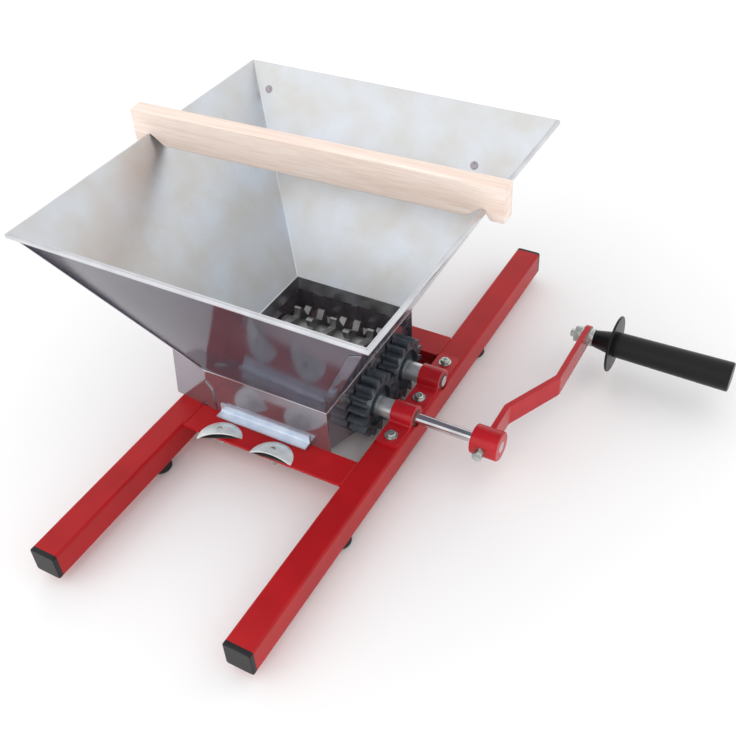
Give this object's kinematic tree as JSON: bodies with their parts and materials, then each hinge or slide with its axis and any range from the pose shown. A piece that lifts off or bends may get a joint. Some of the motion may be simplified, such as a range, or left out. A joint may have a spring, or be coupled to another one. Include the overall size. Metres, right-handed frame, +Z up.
{
  "type": "apple scratter",
  "caption": "Hand-cranked apple scratter: flared steel hopper over two geared toothed rollers on a red tube frame, with a crank and a loose wooden bar.",
  "frame": {"origin": "bottom centre of the whole machine's bounding box, on the plane the feet stand on", "axes": "+X along the shafts towards the crank, +Y along the rails away from the pictured front, +Z up"},
  "size_m": [0.6216, 0.66, 0.315],
  "materials": {
    "red_paint": "satin",
    "crank_paint": "satin",
    "black_plastic": "moulded",
    "black_rubber": "matt",
    "zinc_hardware": "zinc plated",
    "stainless_sheet": "bright rolled",
    "galvanised_sheet": "bright zinc",
    "bronze": "turned",
    "shaft_steel": "ground",
    "gear_steel": "oiled",
    "roller_steel": "satin",
    "grip_plastic": "moulded",
    "beech_wood": "planed"
  },
  "bodies": {
    "frame": {"left_rail": "red_paint", "right_rail": "red_paint", "front_cross_bar": "red_paint", "rear_cross_bar": "red_paint", "left_bearing_strap": "red_paint", "right_bearing_strap": "red_paint", "end_cap_front_left": "black_plastic", "end_cap_front_right": "black_plastic", "end_cap_rear_left": "black_plastic", "end_cap_rear_right": "black_plastic", "rubber_foot_front_left": "black_rubber", "rubber_foot_front_right": "black_rubber", "rubber_foot_rear_left": "black_rubber", "rubber_foot_rear_right": "black_rubber", "foot_screws": "zinc_hardware", "strap_screws": "zinc_hardware", "strap_washers": "zinc_hardware", "housing_front_wall": "stainless_sheet", "housing_rear_wall": "stainless_sheet", "housing_left_plate": "stainless_sheet", "housing_right_plate": "stainless_sheet", "housing_bolts": "zinc_hardware", "left_bearing_cover": "stainless_sheet", "hopper": "stainless_sheet", "hopper_bolts": "zinc_hardware", "m6_nuts": "zinc_hardware", "scraper_comb": "stainless_sheet", "clamp_angle": "galvanised_sheet", "left_clamp_cap": "galvanised_sheet", "right_clamp_cap": "galvanised_sheet", "cap_bolts": "zinc_hardware", "drive_bush_left": "bronze", "drive_bush_right": "bronze", "driven_bush_left": "bronze", "driven_bush_right": "bronze"},
    "crank": {"drive_shaft": "shaft_steel", "drive_gear": "gear_steel", "drive_roller": "roller_steel", "drive_gear_key": "shaft_steel", "drive_roller_pin": "shaft_steel", "drive_spacer_sleeve": "zinc_hardware", "drive_shaft_collar": "zinc_hardware", "crank_hub": "crank_paint", "crank_set_bolt": "zinc_hardware", "crank_set_bolt_nut": "zinc_hardware", "crank_arm": "crank_paint", "grip_spindle": "zinc_hardware", "spindle_nut": "zinc_hardware", "spindle_washer": "zinc_hardware"},
    "driven": {"driven_shaft": "shaft_steel", "driven_gear": "gear_steel", "driven_roller": "roller_steel", "driven_gear_key": "shaft_steel", "driven_roller_pin": "shaft_steel", "driven_spacer_sleeve": "zinc_hardware", "driven_shaft_collar": "zinc_hardware"},
    "grip": {"grip": "grip_plastic"},
    "bar": {"wooden_bar": "beech_wood"}
  },
  "joints": [
    {"name": "crank_spin", "type": "hinge", "parent": "frame", "child": "crank", "pos_m": [-0.09016, -0.014, 0.048], "axis": [1, 0, 0], "continuous": true},
    {"name": "driven_spin", "type": "hinge", "parent": "frame", "child": "driven", "pos_m": [-0.09016, 0.05, 0.048], "axis": [1, 0, 0], "continuous": true},
    {"name": "grip_spin", "type": "hinge", "parent": "crank", "child": "grip", "pos_m": [0.22984, 0.19, 0.048], "axis": [1, 0, 0], "continuous": true},
    {"name": "bar_lift", "type": "slide", "parent": "frame", "child": "bar", "axis": [0, 0, 1], "range_m": [0, 0.08]}
  ],
  "couplings": [
    {"joint": "driven_spin", "follows": "crank_spin", "ratio": -1}
  ]
}
